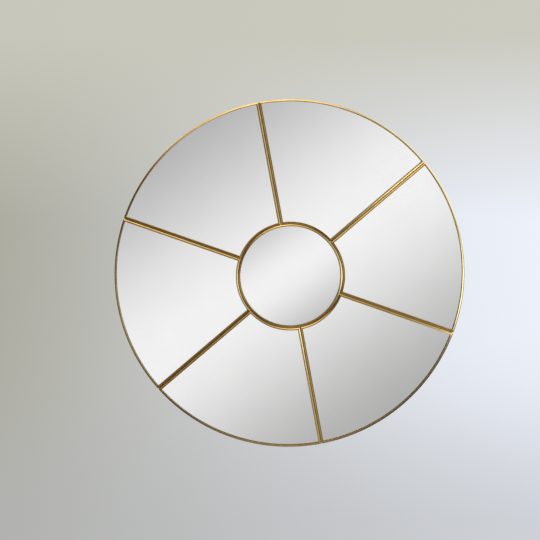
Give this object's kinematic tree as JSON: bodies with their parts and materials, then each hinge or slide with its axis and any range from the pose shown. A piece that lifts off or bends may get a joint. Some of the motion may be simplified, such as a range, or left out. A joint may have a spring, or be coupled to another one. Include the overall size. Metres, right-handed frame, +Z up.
{
  "type": "wall mirror",
  "caption": "Round wall mirror: framed sector panes set round a framed centre pane in slim antique brass, with a keyhole hanger let into the back.",
  "frame": {"origin": "centre of the mirror's back, on the wall plane", "axes": "+Y into the wall, so the mirror faces -Y; +Z up; +X to the right as seen from the front"},
  "size_m": [0.6, 0.015, 0.6],
  "materials": {
    "frame": "antique brass plate, brushed and lacquered",
    "mirror": "silvered float glass",
    "backing": "bare fibreboard",
    "hanger": "zinc plated steel"
  },
  "bodies": {
    "root": {"sector_frame_1": "frame", "sector_frame_2": "frame", "sector_frame_3": "frame", "sector_frame_4": "frame", "sector_frame_5": "frame", "sector_frame_6": "frame", "centre_frame": "frame", "sector_mirror_1": "mirror", "sector_mirror_2": "mirror", "sector_mirror_3": "mirror", "sector_mirror_4": "mirror", "sector_mirror_5": "mirror", "sector_mirror_6": "mirror", "centre_mirror": "mirror", "sector_backing_1": "backing", "sector_backing_2": "backing", "sector_backing_3": "backing", "sector_backing_4": "backing", "sector_backing_5": "backing", "sector_backing_6": "backing", "centre_backing": "backing", "hanging_plate": "hanger", "hanging_screw_left": "hanger", "hanging_screw_right": "hanger"}
  },
  "joints": []
}
